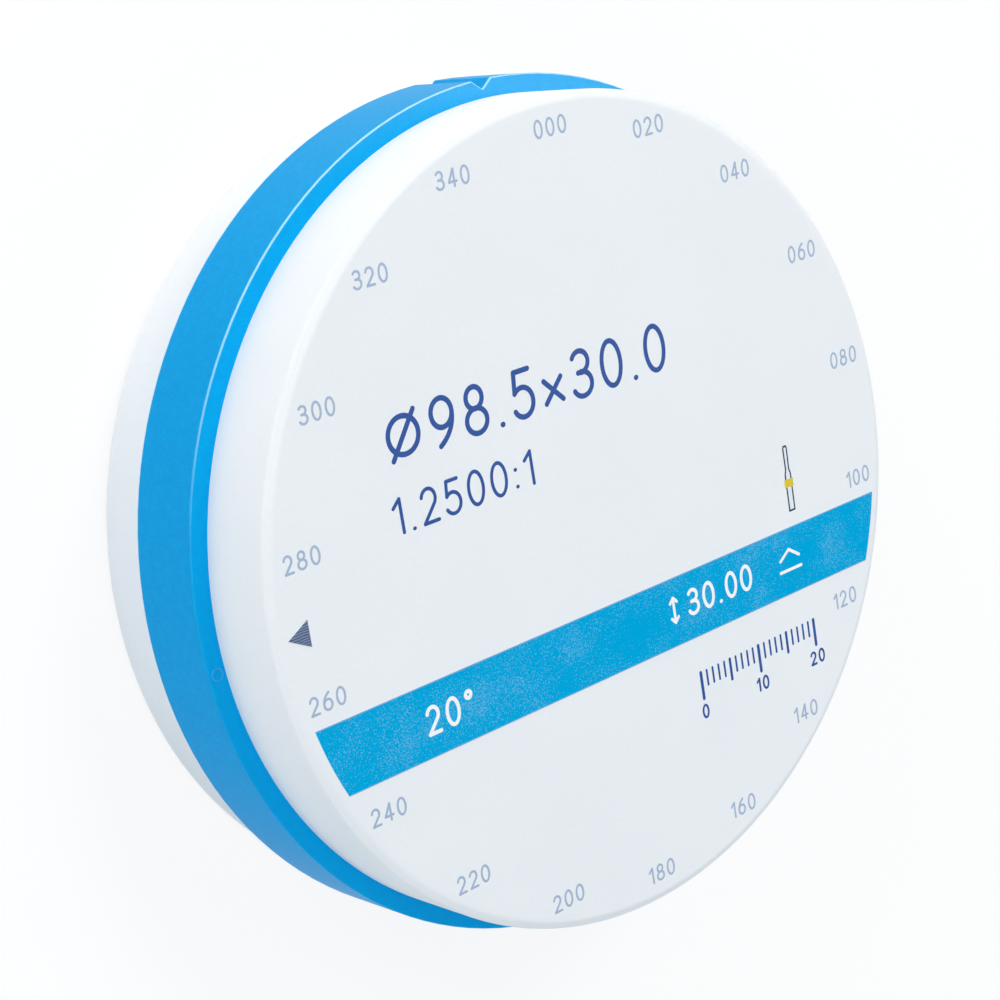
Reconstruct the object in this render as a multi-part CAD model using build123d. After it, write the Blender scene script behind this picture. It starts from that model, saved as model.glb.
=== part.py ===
from build123d import *
import os

# Dental milling disc, in millimetres.
# A pressed white ceramic blank with a plastic holder ring bonded round its middle.
# The disc lies on its back face. Z = 0 is that face, +Z is the axis towards the
# printed face, +Y points to the index notch, and the origin is on the axis.

# Holder ring: the moulded frame that a milling machine clamps
ring_diameter = 98.5
ring_height = 10.0
ring_wall = 2.1
ring_edge_radius = 0.22

# Index notch: a V across the whole height of the ring
notch_width = 2.9
notch_depth = 1.1
notch_shoulder_radius = 0.35
notch_root_radius = 0.15

# Mould cavity mark: a thin raised circle on the ring's front face
mark_diameter = 1.5
mark_line_width = 0.2
mark_height = 0.06
mark_angle = 184.9

# Ceramic blank: one solid cylinder with both faces bevelled
blank_thickness = 30.0
bond_clearance = 0.02
bevel_radial = 0.92
bevel_axial = 0.5
bevel_edge_break = 0.18

# Print on the front face: fields of ink laid on the ceramic
ink_thickness = 0.04
print_margin = 0.95
band_offset = 10.2
band_width = 8.15
triangle_length = 2.7
triangle_width = 2.9

# Sizes that follow from the ones above
ring_radius = ring_diameter / 2
ring_bore_radius = ring_radius - ring_wall
ring_base = (blank_thickness - ring_height) / 2
blank_radius = ring_bore_radius - bond_clearance
print_radius = blank_radius - bevel_radial - print_margin


def make_zirconia_blank():
    """Half of the section turned round Z: each rim has a wide bevel and a small edge break."""
    with BuildPart() as blank:
        with BuildSketch(Plane.XZ):
            Rectangle(blank_radius, blank_thickness, align=(Align.MIN, Align.MIN))
            rim_corners = vertices().group_by(Axis.X)[-1]
            wall = edges().filter_by(Axis.Y).sort_by(Axis.X)[-1]
            chamfer(rim_corners, length=bevel_axial, length2=bevel_radial, reference=wall)
            wall_corners = vertices().group_by(Axis.X)[-1]
            chamfer(wall_corners, length=bevel_edge_break)
        revolve(axis=Axis.Z)
    return blank.part


def make_ring_outline():
    """The ring's outer edge seen along the axis: a circle with the eased V notch at +Y."""
    with BuildSketch() as outline:
        Circle(ring_radius)
        with BuildLine():
            Polyline(
                (0, ring_radius - notch_depth),
                (notch_width, ring_radius + notch_depth),
                (-notch_width, ring_radius + notch_depth),
                close=True,
            )
        make_face(mode=Mode.SUBTRACT)
        root = vertices().sort_by(Axis.Y)[-3]
        fillet(root, notch_root_radius)
        fillet(vertices().sort_by(Axis.Y)[-2:], notch_shoulder_radius)
    return outline.sketch


def make_holder_ring():
    """The notched outline drawn up to the ring's height, edges eased, bored for the blank."""
    with BuildPart() as ring:
        with BuildSketch(Plane.XY.offset(ring_base)):
            add(make_ring_outline())
        extrude(amount=ring_height)
        end_edges = edges().group_by(Axis.Z)
        fillet(end_edges[0] + end_edges[-1], ring_edge_radius)
        with BuildSketch(Plane.XY.offset(ring_base)):
            Circle(ring_bore_radius)
        extrude(amount=ring_height, mode=Mode.SUBTRACT)
        with BuildSketch(Plane.XY.offset(ring_base + ring_height)):
            with PolarLocations(ring_bore_radius + ring_wall / 2, 1, start_angle=mark_angle):
                Circle(mark_diameter / 2)
                Circle(mark_diameter / 2 - mark_line_width, mode=Mode.SUBTRACT)
        extrude(amount=mark_height)
    return ring.part


def make_printed_band():
    """A field of ink across the face: two straight edges, its ends on the print's circle."""
    band_middle = band_offset + band_width / 2
    with BuildPart() as band:
        with BuildSketch(Plane.XY.offset(blank_thickness)):
            Circle(print_radius)
            with Locations((0, -band_middle)):
                Rectangle(2 * print_radius, band_width, mode=Mode.INTERSECT)
        extrude(amount=ink_thickness)
    return band.part


def make_index_triangle():
    """A small triangle of ink at -X, its point on the print's circle."""
    base_x = triangle_length - print_radius
    with BuildPart() as triangle:
        with BuildSketch(Plane.XY.offset(blank_thickness)):
            with BuildLine():
                Polyline(
                    (-print_radius, 0),
                    (base_x, -triangle_width / 2),
                    (base_x, triangle_width / 2),
                    close=True,
                )
            make_face()
        extrude(amount=ink_thickness)
    return triangle.part


nodes = {
    "zirconia_blank": make_zirconia_blank(),
    "holder_ring": make_holder_ring(),
    "printed_band": make_printed_band(),
    "index_triangle": make_index_triangle(),
}
os.makedirs("parts", exist_ok=True)
for name, shape in nodes.items():
    export_step(shape, f"parts/{name}.step")
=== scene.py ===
import math

import bpy
import numpy as np
from mathutils import Matrix, Vector


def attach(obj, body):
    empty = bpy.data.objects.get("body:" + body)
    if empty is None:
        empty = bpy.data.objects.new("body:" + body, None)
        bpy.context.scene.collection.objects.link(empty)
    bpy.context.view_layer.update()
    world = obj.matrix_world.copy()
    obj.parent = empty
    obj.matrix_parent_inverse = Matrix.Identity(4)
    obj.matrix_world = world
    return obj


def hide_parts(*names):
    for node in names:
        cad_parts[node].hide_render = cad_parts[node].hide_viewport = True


# A dental milling disc: a white ceramic blank in a blue holder ring, printed on its front face.
# The disc lies on its back face. Lengths are in millimetres up to the last step of each mesh,
# where they become metres.

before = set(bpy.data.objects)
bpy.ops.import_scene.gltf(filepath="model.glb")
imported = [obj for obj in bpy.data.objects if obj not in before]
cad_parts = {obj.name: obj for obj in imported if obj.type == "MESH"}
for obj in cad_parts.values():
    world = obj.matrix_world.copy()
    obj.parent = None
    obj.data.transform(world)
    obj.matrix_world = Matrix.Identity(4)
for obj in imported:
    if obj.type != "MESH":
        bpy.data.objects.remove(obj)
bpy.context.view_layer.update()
scene = bpy.context.scene

# The ceramic blank: a pressed block of white zirconia before its final firing, chalky and
# matte. It is one piece, with a wide flat bevel and softened edges at both rims.


def soft_corners(corners, steps=7, insets=(0.4, 0.06)):
    """A profile of (radius, height) points from corners (radius, height, rounding).

    A rounded corner becomes an arc that touches both its straight sides: its middle is on the
    line that halves the corner, rounding / sine of the half angle away from it. A side more
    than three insets long also gets a point at that inset from its end, so that the shading
    stays flat between them.
    """
    corners, insets = np.asarray(corners, float), np.array(insets)[:, None]
    profile = [corners[:1, :2]]
    for before, here, after in zip(corners[:-2], corners[1:-1], corners[2:]):
        back, on = before[:2] - here[:2], after[:2] - here[:2]
        u, v = back / np.linalg.norm(back), on / np.linalg.norm(on)
        half = math.acos(float(np.clip(u @ v, -1, 1))) / 2
        tangent = here[2] / math.tan(half)
        middle = here[:2] + (u + v) / np.linalg.norm(u + v) * here[2] / math.sin(half)
        start, end = here[:2] + u * tangent, here[:2] + v * tangent
        first, last = (math.atan2(*(p - middle)[::-1]) for p in (start, end))
        turn = (last - first + math.pi) % (2 * math.pi) - math.pi
        a = first + turn * np.linspace(0, 1, steps)
        bend = middle + here[2] * np.column_stack([np.cos(a), np.sin(a)])
        room_before = np.linalg.norm(before[:2] - start) > 3 * insets[:, 0]
        room_after = np.linalg.norm(after[:2] - end) > 3 * insets[:, 0]
        near_start = (start + u * insets)[room_before]
        near_end = (end + v * insets)[room_after][::-1]
        profile += [near_start, bend, near_end]
    profile.append(corners[-1:, :2])
    return np.vstack(profile)


def lathe(profile, segments):
    """The profile turned round the axis. Its first and last points are on the axis.

    Point (i, k) is profile point i at angle 2 pi k / segments; both poles are single points.
    """
    rings = profile[1:-1]
    a = 2 * math.pi * np.arange(segments) / segments
    x = rings[:, 0, None] * np.cos(a)
    y = rings[:, 0, None] * np.sin(a)
    z = np.repeat(rings[:, 1, None], segments, 1)
    points = np.stack([x, y, z], -1).reshape(-1, 3)
    row = np.arange(len(rings) - 1)[:, None] * segments
    k = np.arange(segments)
    after = (k + 1) % segments
    quads = np.stack([row + k, row + after, row + segments + after, row + segments + k], -1)
    bottom, top = len(points), len(points) + 1
    last = (len(rings) - 1) * segments
    low_fan = np.column_stack([after, k, np.full(segments, bottom)])
    high_fan = np.column_stack([k + last, after + last, np.full(segments, top)])
    points = np.vstack([points, [[0, 0, profile[0, 1]], [0, 0, profile[-1, 1]]]])
    return points, [quads.reshape(-1, 4), low_fan, high_fan]


def add_mesh(name, points_mm, faces, material):
    """An object at the origin with these points, in millimetres, and arrays of faces."""
    mesh = bpy.data.meshes.new(name)
    mesh.from_pydata((points_mm / 1000).tolist(), [], sum((f.tolist() for f in faces), []))
    mesh.update()
    mesh.materials.append(material)
    obj = bpy.data.objects.new(name, mesh)
    scene.collection.objects.link(obj)
    return obj


def new_material(name, roughness, specular):
    """A material with its Principled shader, and an output."""
    material = bpy.data.materials.new(name)
    material.use_nodes = True
    tree = material.node_tree
    tree.nodes.clear()
    output = tree.nodes.new("ShaderNodeOutputMaterial")
    shader = tree.nodes.new("ShaderNodeBsdfPrincipled")
    shader.inputs["Roughness"].default_value = roughness
    shader.inputs["Specular IOR Level"].default_value = specular
    tree.links.new(shader.outputs["BSDF"], output.inputs["Surface"])
    return material, tree, shader


def feed(tree, socket, value):
    """Links another socket to this input, or writes a plain value on it."""
    if isinstance(value, bpy.types.NodeSocket):
        tree.links.new(value, socket)
    else:
        socket.default_value = value


def math_node(tree, operation, first, second):
    """A Math node whose two inputs are sockets or plain numbers."""
    node = tree.nodes.new("ShaderNodeMath")
    node.operation = operation
    feed(tree, node.inputs[0], first)
    feed(tree, node.inputs[1], second)
    return node.outputs["Value"]


def smooth_rise(tree, value, low, high):
    """0 up to where the value is low, 1 from where it is high, and a smooth step between."""
    ramp = tree.nodes.new("ShaderNodeMapRange")
    ramp.interpolation_type = "SMOOTHSTEP"
    feed(tree, ramp.inputs["Value"], value)
    feed(tree, ramp.inputs["From Min"], low)
    feed(tree, ramp.inputs["From Max"], high)
    return ramp.outputs["Result"]


def grain_group():
    """Object coordinates to fine grain, and to a mask of the same grain gathered in clouds.

    Grain is noise of the given scale. The mask adds a slow noise, less its middle and times
    the cloud amount, and rises smoothly from 0 at Low to 1 at High.
    """
    group = bpy.data.node_groups.new("grain", "ShaderNodeTree")
    for name, value in (
        ("Scale", 4000.0),
        ("Cloud scale", 200.0),
        ("Cloud amount", 0.5),
        ("Low", 0.5),
        ("High", 0.6),
    ):
        socket = group.interface.new_socket(name, in_out="INPUT", socket_type="NodeSocketFloat")
        socket.default_value = value
    for name in ("Grain", "Mask"):
        group.interface.new_socket(name, in_out="OUTPUT", socket_type="NodeSocketFloat")
    nodes, link = group.nodes, group.links.new
    enter, leave = nodes.new("NodeGroupInput"), nodes.new("NodeGroupOutput")
    spot = nodes.new("ShaderNodeTexCoord")
    fine, cloud = nodes.new("ShaderNodeTexNoise"), nodes.new("ShaderNodeTexNoise")
    fine.inputs["Detail"].default_value = 1.5
    cloud.inputs["Detail"].default_value = 3.0
    for noise, scale in ((fine, "Scale"), (cloud, "Cloud scale")):
        link(spot.outputs["Object"], noise.inputs["Vector"])
        link(enter.outputs[scale], noise.inputs["Scale"])
    slow = math_node(group, "SUBTRACT", cloud.outputs["Fac"], 0.5)
    slow = math_node(group, "MULTIPLY", slow, enter.outputs["Cloud amount"])
    clouded = math_node(group, "ADD", slow, fine.outputs["Fac"])
    mask = smooth_rise(group, clouded, enter.outputs["Low"], enter.outputs["High"])
    link(fine.outputs["Fac"], leave.inputs["Grain"])
    link(mask, leave.inputs["Mask"])
    return group


grain_tool = grain_group()


def add_grain(tree, scale, cloud_scale, cloud_amount, low, high):
    """The grain group in a material's tree, with these values."""
    node = tree.nodes.new("ShaderNodeGroup")
    node.node_tree = grain_tool
    for socket, value in zip(node.inputs, (scale, cloud_scale, cloud_amount, low, high)):
        socket.default_value = value
    return node


def colour_between(tree, mask, first, second):
    """From the first colour or colour socket to the second, as the mask goes from 0 to 1."""
    mix = tree.nodes.new("ShaderNodeMix")
    mix.data_type = "RGBA"
    for socket, colour in ((mix.inputs["A"], first), (mix.inputs["B"], second)):
        feed(tree, socket, (*colour, 1) if isinstance(colour, tuple) else colour)
    tree.links.new(mask, mix.inputs["Factor"])
    return mix.outputs["Result"]


def relief(tree, shader, height, depth_mm, strength):
    """A bump of that depth from a height between 0 and 1."""
    bump = tree.nodes.new("ShaderNodeBump")
    bump.inputs["Distance"].default_value = depth_mm / 1000
    bump.inputs["Strength"].default_value = strength
    tree.links.new(height, bump.inputs["Height"])
    tree.links.new(bump.outputs["Normal"], shader.inputs["Normal"])


def ceramic_material():
    """White with the faintest grey grain, and a fine powdery relief."""
    material, tree, shader = new_material("ceramic", roughness=0.85, specular=0.15)
    grain = add_grain(tree, scale=2600, cloud_scale=60, cloud_amount=0.9, low=0.25, high=0.8)
    greyer, whiter = (0.835, 0.863, 0.897), (0.855, 0.881, 0.912)
    white = colour_between(tree, grain.outputs["Mask"], greyer, whiter)
    tree.links.new(white, shader.inputs["Base Color"])
    relief(tree, shader, grain.outputs["Grain"], depth_mm=0.02, strength=0.12)
    return material


blank_radius, bevel_radius, bevel_height, thickness = 47.13, 46.21, 0.5, 30
side_rounding, face_rounding = 0.4, 1.1
blank_profile = soft_corners([
    (0, 0, 0),
    (bevel_radius, 0, face_rounding),
    (blank_radius, bevel_height, side_rounding),
    (blank_radius, thickness - bevel_height, side_rounding),
    (bevel_radius, thickness, face_rounding),
    (0, thickness, 0),
])
blank = add_mesh("ceramic_blank", *lathe(blank_profile, segments=288), ceramic_material())
blank.data.shade_smooth()
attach(blank, "root")
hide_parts("zirconia_blank")

# The holder ring: injection moulded plastic with a fine satin grain, bonded round the middle
# of the blank. The notch and the small round mould mark are moulded with it. Its eased edges
# carry a painted highlight that fades away from the notch, and its wall is painted shade: a
# darker copy of the blue of its steps.


def coordinate(tree, axis):
    """One object coordinate of the shaded point, in metres."""
    spot = tree.nodes.new("ShaderNodeTexCoord")
    parts = tree.nodes.new("ShaderNodeSeparateXYZ")
    tree.links.new(spot.outputs["Object"], parts.inputs["Vector"])
    return parts.outputs[axis]


def off_plane(tree, axis, middle):
    """The distance in metres from the plane where that coordinate is middle."""
    off_middle = math_node(tree, "SUBTRACT", coordinate(tree, axis), middle)
    return math_node(tree, "ABSOLUTE", off_middle, 0.0)


def ring_masks(tree):
    """Two masks: past the wall, and a painted highlight on the edges with the mould mark.

    Both read the distance from the ring's middle plane. The first rises where the wall ends,
    4.74 to 4.82 mm from that plane. The second, a painted highlight on the edges, is the first,
    falling again just before the flat step at 5 mm, times a rise along y from 0 at 8 mm on the
    notch's side of the axis to 1 at 36 mm. The mould mark stands out of the step, and adds 0.1
    beyond 5.03 mm.
    """
    off_middle = off_plane(tree, "Z", 0.015)
    past_wall = smooth_rise(tree, off_middle, 0.00474, 0.00482)
    before_step = smooth_rise(tree, off_middle, 0.004995, 0.00497)
    towards_notch = smooth_rise(tree, coordinate(tree, "Y"), 0.008, 0.036)
    on_mark = smooth_rise(tree, off_middle, 0.00502, 0.00504)
    # Painted highlight: the eased edges turn pale, most strongly near the notch.
    edge_highlight = math_node(tree, "MULTIPLY", past_wall, before_step)
    edge_highlight = math_node(tree, "MULTIPLY", edge_highlight, towards_notch)
    mark = math_node(tree, "MULTIPLY", on_mark, 0.1)
    return past_wall, math_node(tree, "ADD", edge_highlight, mark)


def ring_material():
    """Clear blue with a fine paler sparkle, a satin grain, painted shade and painted
    highlights.
    """
    material, tree, shader = new_material("ring_plastic", roughness=0.42, specular=0.05)
    shader.inputs["Specular Tint"].default_value = (0.7, 0.92, 1, 1)
    grain = add_grain(tree, scale=6500, cloud_scale=900, cloud_amount=0.3, low=0.42, high=0.66)
    sparkle = grain.outputs["Mask"]
    # Painted shade: the wall is a darker copy of the blue of the steps.
    wall = colour_between(tree, sparkle, (0.0, 0.312, 0.715), (0.0, 0.372, 0.775))
    step = colour_between(tree, sparkle, (0.0, 0.347, 0.775), (0.0, 0.413, 0.835))
    # Painted highlight: the eased edges near the notch, and the mould mark, turn towards this
    # pale blue.
    highlight_and_mark_blue, highlight_and_mark_strength = (0.45, 0.8, 0.97), 0.8
    past_wall, edge_highlight_and_mark = ring_masks(tree)
    blue = colour_between(tree, past_wall, wall, step)
    blue = colour_between(tree, math_node(tree, "MULTIPLY", edge_highlight_and_mark, highlight_and_mark_strength), blue, highlight_and_mark_blue)
    tree.links.new(blue, shader.inputs["Base Color"])
    relief(tree, shader, grain.outputs["Grain"], depth_mm=0.02, strength=0.3)
    return material


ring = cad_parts["holder_ring"]
ring.data.materials.clear()
ring.data.materials.append(ring_material())

# The printed band: a field of blue ink sprayed straight on the ceramic, so that its dots leave
# a paler speckle that gathers in clouds.


def band_material():
    """Blue ink under scattered paler dots, and a mauve line along both long edges.

    The line is where y is more than 3.96 mm from the band's middle, 14.275 mm below the axis.
    """
    material, tree, shader = new_material("band_ink", roughness=0.8, specular=0.0)
    grain = add_grain(tree, scale=5600, cloud_scale=170, cloud_amount=0.5, low=0.53, high=0.72)
    full, speckled, mauve = (0.0, 0.395, 0.75), (0.12, 0.455, 0.77), (0.42, 0.42, 0.66)
    blue = colour_between(tree, grain.outputs["Mask"], full, speckled)
    line = math_node(tree, "GREATER_THAN", off_plane(tree, "Y", -0.014275), 0.00396)
    line_strength = math_node(tree, "MULTIPLY", line, 0.45)
    blue = colour_between(tree, line_strength, blue, mauve)
    tree.links.new(blue, shader.inputs["Base Color"])
    return material


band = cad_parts["printed_band"]
band.data.materials.clear()
band.data.materials.append(band_material())

# The index triangle: dark blue ink laid in fine lines, nearly square to the line to the notch.
# It is printed with the rest and shows the disc's angle.


def triangle_material():
    """Dark ink crossed by thin paler lines: a sine of the height y, bent by a slow noise."""
    material, tree, shader = new_material("triangle_ink", roughness=0.7, specular=0.12)
    spot = tree.nodes.new("ShaderNodeTexCoord")
    lines = tree.nodes.new("ShaderNodeTexWave")
    lines.bands_direction = "Y"
    lines.inputs["Scale"].default_value = 1150.0
    lines.inputs["Distortion"].default_value = 3.0
    lines.inputs["Detail"].default_value = 2.0
    lines.inputs["Detail Scale"].default_value = 1.2
    tree.links.new(spot.outputs["Object"], lines.inputs["Vector"])
    dark, paler = (0.025, 0.05, 0.125), (0.19, 0.26, 0.42)
    lined = colour_between(tree, lines.outputs["Fac"], dark, paler)
    tree.links.new(lined, shader.inputs["Base Color"])
    return material


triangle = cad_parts["index_triangle"]
triangle.data.materials.clear()
triangle.data.materials.append(triangle_material())

# The rim marks: eighteen plain angles in degrees, clockwise from the notch, printed in a pale
# grey-blue. They stand upright to the band, on an oval a little inside the edge of the face.

ink_height, stroke_step = 0.015, 0.003


def arc(centre, radii, start, end, count=22):
    """Points on an ellipse from angle start to angle end, in degrees."""
    a = np.radians(np.linspace(start, end, count))
    return np.column_stack([centre[0] + radii[0] * np.cos(a), centre[1] + radii[1] * np.sin(a)])


def ribbon(path, half_widths, low, high, closed=False):
    """A field of ink along a path, from height low to height high.

    Each point of the path has four corners: its half width to the left and to the right,
    square to the line between its two neighbours, at both heights. Walls join the corners of
    one point to those of the next, and an open ribbon gets two end walls.
    """
    path, half_widths = np.asarray(path, float), np.asarray(half_widths, float)
    n = len(path)
    if closed:
        along = np.roll(path, -1, 0) - np.roll(path, 1, 0)
    else:
        along = np.gradient(path, axis=0)
    unit = along / np.linalg.norm(along, axis=1)[:, None]
    side = np.column_stack([-unit[:, 1], unit[:, 0]]) * half_widths[:, None]
    flat = np.stack([path + side, path - side, path - side, path + side], 1)
    level = np.tile([low, low, high, high], (n, 1))
    points = np.dstack([flat, level]).reshape(-1, 3)
    row = np.arange(n if closed else n - 1)[:, None]
    corner = np.arange(4)[None, :]
    after, next_corner = (row + 1) % n, (corner + 1) % 4
    bottom = [row * 4 + corner, after * 4 + corner]
    top = [after * 4 + next_corner, row * 4 + next_corner]
    faces = np.stack(bottom + top, -1).reshape(-1, 4)
    if not closed:
        last = (n - 1) * 4
        faces = np.vstack([faces, [[0, 1, 2, 3], [last + 3, last + 2, last + 1, last]]])
    return points, faces


def pen_stroke(path, width, low, closed=False):
    """A line of ink as wide as the pen, with round ends, from the height low up.

    Past an open end the half width falls as the square root of (half the pen squared less the
    distance squared), but to no less than 0.04 of half the pen.
    """
    path = np.asarray(path, float)
    half = np.full(len(path), width / 2)
    if not closed:
        reach = np.sin(np.linspace(0.0, math.pi / 2, 6))[1:]
        tip = np.sqrt(np.clip(1 - reach**2, 0.04**2, 1)) * width / 2
        first, last = path[0] - path[1], path[-1] - path[-2]
        first, last = first / np.linalg.norm(first), last / np.linalg.norm(last)
        before = path[0] + np.outer(reach[::-1], first) * width / 2
        after = path[-1] + np.outer(reach, last) * width / 2
        path = np.vstack([before, path, after])
        half = np.concatenate([tip[::-1], half, tip])
    return ribbon(path, half, low, low + ink_height, closed)


def pen_strokes(paths, pen, level):
    """A stroke for each (points, closed) pair, each a little higher than the one before.

    So no two strokes that cross lie in one plane.
    """
    return [
        pen_stroke(path, pen, level + stroke_step * k, closed)
        for k, (path, closed) in enumerate(paths)
    ]


def glyph(sign):
    """The pen paths of one sign one unit high, each a (points, closed) pair, and its width.

    The tail of 6 and 9 is (1 - t) squared of its start, plus 2 t (1 - t) of the point that it
    bends towards, plus t squared of its end. D is the diameter sign.
    """

    def line(start, end):
        return np.linspace(start, end, 4), False

    def loop(middle, radii, count):
        return arc(middle, radii, 0, 360, count)[:-1], True

    if sign == "0":
        return [loop((0.28, 0.5), (0.28, 0.5), 45)], 0.56
    if sign == "1":
        return [line((0.26, 0), (0.26, 1)), line((0.26, 1), (0, 0.77))], 0.26
    if sign == "2":
        top = arc((0.26, 0.71), (0.26, 0.29), 165, -38)
        return [(top, False), line(top[-1], (0, 0)), line((0, 0), (0.54, 0))], 0.54
    if sign == "3":
        upper = arc((0.25, 0.76), (0.24, 0.24), 150, -90)
        lower = arc((0.25, 0.27), (0.28, 0.27), 90, -155)
        return [(upper, False), (lower, False), line((0.16, 0.53), (0.25, 0.53))], 0.53
    if sign == "4":
        slope, bar = line((0.4, 1), (0, 0.27)), line((0, 0.27), (0.58, 0.27))
        return [slope, bar, line((0.4, 1), (0.4, 0))], 0.58
    if sign == "5":
        bowl = arc((0.25, 0.32), (0.29, 0.32), 135, -150)
        return [line((0.5, 1), (0.09, 1)), line((0.09, 1), bowl[0]), (bowl, False)], 0.54
    if sign == "6":
        t = np.linspace(0, 1, 16)[:, None]
        start, bend, end = np.array([(0.0, 0.31), (0.0, 0.75), (0.42, 1.0)])
        tail = (1 - t) ** 2 * start + 2 * t * (1 - t) * bend + t**2 * end
        return [loop((0.28, 0.31), (0.28, 0.31), 37), (tail, False)], 0.56
    if sign == "8":
        upper = loop((0.28, 0.765), (0.22, 0.235), 33)
        return [upper, loop((0.28, 0.27), (0.28, 0.27), 37)], 0.56
    if sign == "9":
        paths, width = glyph("6")
        return [(np.array([0.56, 1.0]) - path, closed) for path, closed in paths], width
    if sign == ".":
        return [line((0.03, 0.0), (0.05, 0.0))], 0.08
    if sign == ":":
        return [line((0.03, 0.08), (0.05, 0.08)), line((0.03, 0.6), (0.05, 0.6))], 0.08
    if sign == "x":
        return [line((0, 0.1), (0.5, 0.6)), line((0, 0.6), (0.5, 0.1))], 0.5
    if sign == "o":
        return [loop((0.14, 0.87), (0.13, 0.13), 25)], 0.28
    return [loop((0.43, 0.5), (0.4, 0.4), 49), line((0.08, 0.03), (0.78, 0.97))], 0.86


def pen_text(text, corner, height, pen, level, gap=0.24):
    """Signs written with a round pen on one base line, from corner to the right, as plates.

    height is from the lower to the upper edge of a figure; pen is the width of the line. In the
    text, D is the diameter sign, o the degree sign and x the multiplication sign.
    """
    scale = height - pen
    x, y = corner[0] + pen / 2, corner[1] + pen / 2
    plates = []
    for sign in text:
        paths, width = glyph(sign)
        placed = [(path * scale + [x, y], closed) for path, closed in paths]
        plates += pen_strokes(placed, pen, level)
        x += (width + gap) * scale + pen
    return plates


def text_width(text, height, pen, gap=0.24):
    """How far the same call of pen_text reaches, from the corner to the last outer edge."""
    scale = height - pen
    return sum(glyph(s)[1] * scale + pen for s in text) + gap * scale * (len(text) - 1)


def joined(plates):
    """Several (points, faces) plates as one mesh: their rows one below the other."""
    starts = np.cumsum([0] + [len(points) for points, _ in plates[:-1]])
    faces = [faces + start for (_, faces), start in zip(plates, starts)]
    return np.vstack([points for points, _ in plates]), faces


def ink(name, colour, fleck):
    """A matte ink with a fine grain between its colour and that of its flecks."""
    material, tree, shader = new_material(name, roughness=0.7, specular=0.12)
    grain = add_grain(tree, scale=7000, cloud_scale=300, cloud_amount=0.4, low=0.5, high=0.7)
    flecked = colour_between(tree, grain.outputs["Mask"], colour, fleck)
    tree.links.new(flecked, shader.inputs["Base Color"])
    return material


def rim_numbers(height=2.1, pen=0.27, oval=(42.5, 43.7), count=18):
    """Number k is centred at (42.5 cos a, 43.7 sin a) with a = 90 - 20 k degrees."""
    step = 360 // count
    plates = []
    for k in range(count):
        angle = math.radians(90 - step * k)
        text = f"{step * k:03d}"
        left = oval[0] * math.cos(angle) - text_width(text, height, pen) / 2
        base = oval[1] * math.sin(angle) - height / 2
        plates += pen_text(text, (left, base), height, pen, thickness)
    return joined(plates)


pale_ink = ink("pale_ink", (0.35, 0.45, 0.63), (0.42, 0.52, 0.7))
numbers = add_mesh("rim_numbers", *rim_numbers(), pale_ink)
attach(numbers, "root")

# The large print: the disc's diameter and thickness, a plain ratio under it, and a scale of
# millimetres below the band, all in the same dark blue ink.


def size_print():
    """Two lines of figures, and twenty-one strokes one millimetre apart with three figures."""
    plates = pen_text("D98.5x30.0", (-29.05, 13.66), height=5.67, pen=0.6, level=thickness)
    plates += pen_text("1.2500:1", (-29.7, 6.3), height=4.05, pen=0.42, level=thickness)
    scale_left, scale_top, figure_base = 10.65, -22.7, -28.4
    ten_stroke, five_stroke, one_stroke = (3.2, 0.45), (2.5, 0.4), (1.8, 0.3)
    for k in range(21):
        length, pen = ten_stroke if k % 10 == 0 else five_stroke if k % 5 == 0 else one_stroke
        x = scale_left + k
        path = np.linspace((x, scale_top), (x, scale_top - length), 3)
        plates.append(pen_stroke(path, pen, thickness))
    figure_height, figure_pen = 1.8, 0.3
    for k in (0, 10, 20):
        left = scale_left + k - text_width(str(k), figure_height, figure_pen) / 2
        corner = (left, figure_base)
        plates += pen_text(str(k), corner, figure_height, figure_pen, thickness)
    return joined(plates)


navy_ink = ink("navy_ink", (0.0, 0.06, 0.3), (0.01, 0.08, 0.35))
large = add_mesh("size_print", *size_print(), navy_ink)
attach(large, "root")

# The white signs on the band: the step between two rim marks in degrees, an arrow across the
# disc's thickness with its size, and a small sign for the front side. White ink on the blue.


def band_signs(level=thickness + 0.04):
    """Everything stands on the top of the band, 0.04 mm above the face."""

    def straight(*ends):
        return [(np.linspace(*pair, 3), False) for pair in ends]

    plates = pen_text("20o", (-30.0, -15.95), height=3.35, pen=0.45, level=level)
    sign_pen, foot, head = 0.38, (7.87, -15.5), (7.87, -12.55)
    arrow = straight((foot, head))
    for x in (7.33, 8.41):
        arrow += straight((foot, (x, -14.95)), (head, (x, -13.1)))
    plates += pen_strokes(arrow, sign_pen, level)
    plates += pen_text("30.00", (10.1, -15.6), height=3.3, pen=0.45, level=level, gap=0.2)
    left, tip, right = (26.3, -13.9), (27.95, -12.8), (29.6, -13.9)
    roof = straight((left, tip), (right, tip), ((26.1, -15.3), (29.8, -15.3)))
    plates += pen_strokes(roof, sign_pen, level)
    return joined(plates)


white_ink = ink("white_ink", (0.93, 0.94, 0.95), (0.84, 0.9, 0.94))
signs = add_mesh("band_signs", *band_signs(), white_ink)
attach(signs, "root")

# The tool sign above the band: a small printed picture of a milling tool, drawn as a dark
# outline filled with white, with a yellow collar round its shank.

tool_middle = 29.55


def tool_picture(grow, low, high):
    """A ribbon down the tool's axis, with the tool's half width at each height.

    Grow is added to every half width and to both ends.
    """
    half = np.array([0.12, 0.25, 0.28, 0.24, 0.43, 0.43]) + grow
    y = np.array([-0.36 + grow, -0.48, -0.7, -3.2, -3.8, -8.25 - grow])
    axis = np.column_stack([np.full(len(y), tool_middle), y])
    points, faces = ribbon(axis, half, low, high)
    return points, [faces]


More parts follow.
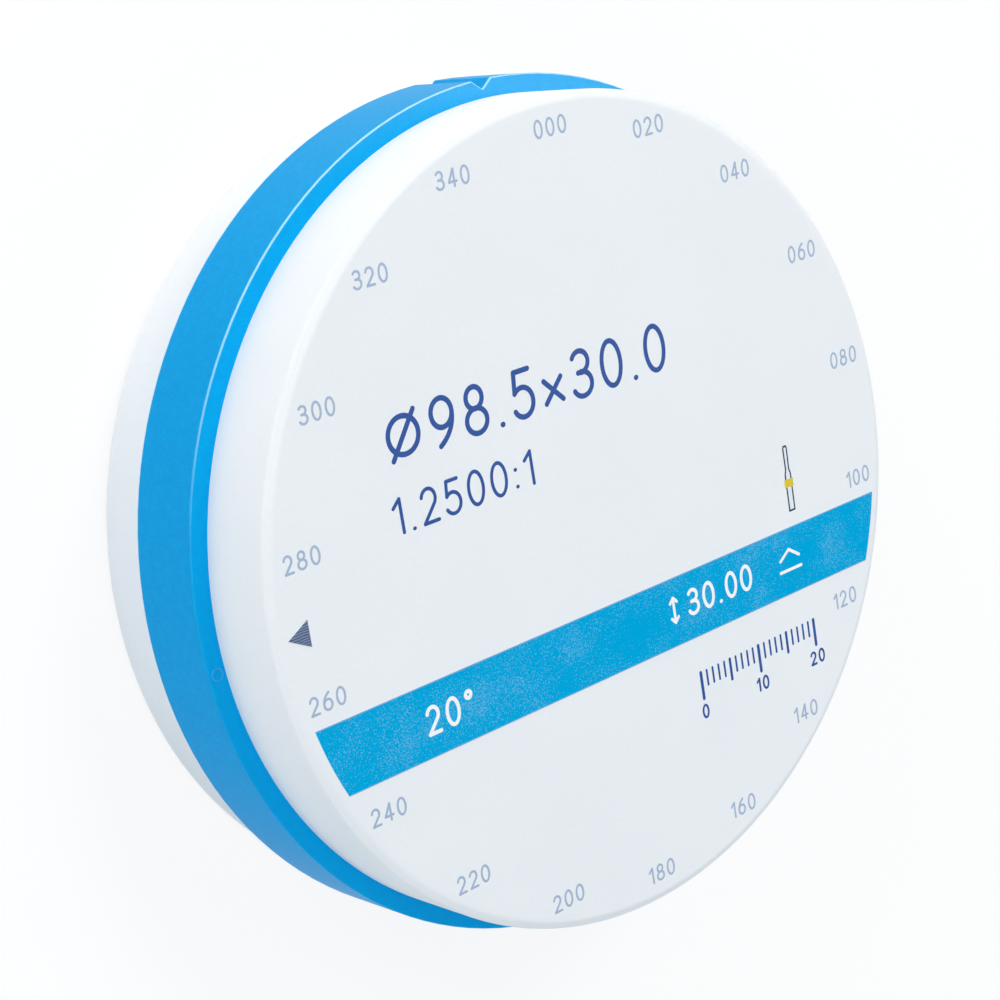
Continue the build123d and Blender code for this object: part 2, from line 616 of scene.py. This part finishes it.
outline_top, fill_top, collar_top = thickness + 0.012, thickness + 0.015, thickness + 0.02
dark_ink = ink("dark_ink", (0.006, 0.02, 0.06), (0.012, 0.03, 0.08))
tool = add_mesh("tool_sign_outline", *tool_picture(0.14, thickness, outline_top), dark_ink)
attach(tool, "root")

fill_ink = ink("fill_ink", (0.78, 0.83, 0.9), (0.82, 0.86, 0.91))
inside = add_mesh("tool_sign_fill", *tool_picture(-0.09, outline_top, fill_top), fill_ink)
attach(inside, "root")

yellow_ink = ink("yellow_ink", (0.71, 0.53, 0.0), (0.76, 0.59, 0.0))
collar_reach, collar_half, collar_y = 0.75, 0.5, -4.9
ends = [(tool_middle - collar_reach, collar_y), (tool_middle + collar_reach, collar_y)]
points, faces = ribbon(ends, [collar_half, collar_half], thickness, collar_top)
collar = add_mesh("tool_sign_collar", points, [faces], yellow_ink)
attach(collar, "root")

# The studio: one large white floor, soft light from everywhere, three lamps on the notch's
# side and a faint bluish one on the other. Camera and reflections see floor and surroundings
# as white, apart from the shadow.


def background_rays(tree, amount):
    """The amount for camera, glossy and transmission rays, and 0 for the rest."""
    path = tree.nodes.new("ShaderNodeLightPath")
    seen = math_node(tree, "ADD", path.outputs["Is Camera Ray"], path.outputs["Is Glossy Ray"])
    seen = math_node(tree, "MAXIMUM", seen, path.outputs["Is Transmission Ray"])
    return math_node(tree, "MULTIPLY", seen, amount)


def mixed(tree, fraction, first, second):
    """A mix of two shaders by a fraction."""
    mix = tree.nodes.new("ShaderNodeMixShader")
    tree.links.new(fraction, mix.inputs["Fac"])
    tree.links.new(first, mix.inputs[1])
    tree.links.new(second, mix.inputs[2])
    return mix.outputs["Shader"]


def floor_material():
    """White paint, three quarters of it shown as plain white to the rays that see it."""
    material, tree, shader = new_material("floor", roughness=0.9, specular=0.0)
    shader.inputs["Base Color"].default_value = (0.9, 0.9, 0.9, 1)
    glow = tree.nodes.new("ShaderNodeEmission")
    glow.inputs["Strength"].default_value = 1.05
    seen = background_rays(tree, 0.75)
    lit = mixed(tree, seen, shader.outputs["BSDF"], glow.outputs["Emission"])
    output = next(node for node in tree.nodes if node.type == "OUTPUT_MATERIAL")
    tree.links.new(lit, output.inputs["Surface"])
    material.cycles.emission_sampling = "NONE"
    return material


floor_half = 900
corners = np.array([(-1, -1, 0), (1, -1, 0), (1, 1, 0), (-1, 1, 0)], float) * floor_half
floor = add_mesh("floor", corners, [np.array([[0, 1, 2, 3]])], floor_material())

world = bpy.data.worlds.new("studio")
world.use_nodes = True
sky = world.node_tree
sky.nodes.clear()
soft_light, plain_white = (0.71, (0.88, 0.95, 1, 1)), (1.0, (1, 1, 1, 1))
backgrounds = []
for strength, colour in (soft_light, plain_white):
    node = sky.nodes.new("ShaderNodeBackground")
    node.inputs["Strength"].default_value = strength
    node.inputs["Color"].default_value = colour
    backgrounds.append(node.outputs["Background"])
sky_output = sky.nodes.new("ShaderNodeOutputWorld")
sky.links.new(mixed(sky, background_rays(sky, 1.0), *backgrounds), sky_output.inputs["Surface"])
world.cycles.sampling_method = "NONE"
scene.world = world


disc_middle = Vector((0, 0, 0.015))


def lamp(name, place, size, power, colour):
    """A flat lamp that points from place, in metres, at the middle of the disc.

    Size is its width and height in metres, and power is in watts.
    """
    data = bpy.data.lights.new(name, "AREA")
    data.shape = "RECTANGLE"
    data.size, data.size_y = size
    data.energy = power
    data.color = colour
    obj = bpy.data.objects.new(name, data)
    obj.location = place
    aim = disc_middle - Vector(place)
    obj.rotation_euler = aim.to_track_quat("-Z", "Y").to_euler()
    scene.collection.objects.link(obj)
    return obj


lamp("key", (0.22, 0.604, 0.781), (0.3, 0.3), 2.36, (1, 0.9, 0.79))
lamp("left", (-0.604, 0.72, 0.357), (0.3, 0.3), 2.0, (1, 0.9, 0.8))
lamp("low", (0.087, 0.986, 0.14), (0.3, 0.2), 1.05, (1, 0.92, 0.84))
lamp("fill", (-0.814, -0.296, 0.515), (0.5, 0.5), 0.5, (0.7, 0.92, 1))

# Four broad screens that only show in reflections: three brighten the pale line along the
# ring's edge, and the last lightens its front step near the notch. Each is 1 m away, at an
# azimuth and an elevation in degrees.

screens = ((63, 22, 0.65, 24), (110, 36, 0.65, 24), (165, 40, 0.65, 24), (8, 50, 0.35, 20))
for k, (azimuth, elevation, width, power) in enumerate(screens):
    a, e = math.radians(azimuth), math.radians(elevation)
    place = (math.cos(a) * math.cos(e), math.sin(a) * math.cos(e), math.sin(e))
    lamp(f"screen_{k}", place, (width, width), power, (1, 1, 1)).visible_diffuse = False

scene.view_settings.view_transform = "Standard"

# The camera: 86 mm lens, 0.28 m from the disc, over its left side and turned about its own
# axis, as in the photograph. The matrix has its right, up and backward directions as columns,
# and then its place in metres.

camera_data = bpy.data.cameras.new("camera")
camera_data.sensor_width = 36
camera_data.lens = 86.4
camera_data.clip_start = 0.01
camera = bpy.data.objects.new("camera", camera_data)
camera.matrix_world = Matrix((
    (0.7386778, 0.2808275, -0.6127732, -0.1735105),
    (-0.1552349, 0.9555181, 0.2507733, 0.0708995),
    (0.6559399, -0.0901168, 0.7494143, 0.2236650),
    (0, 0, 0, 1),
))
scene.collection.objects.link(camera)
scene.camera = camera
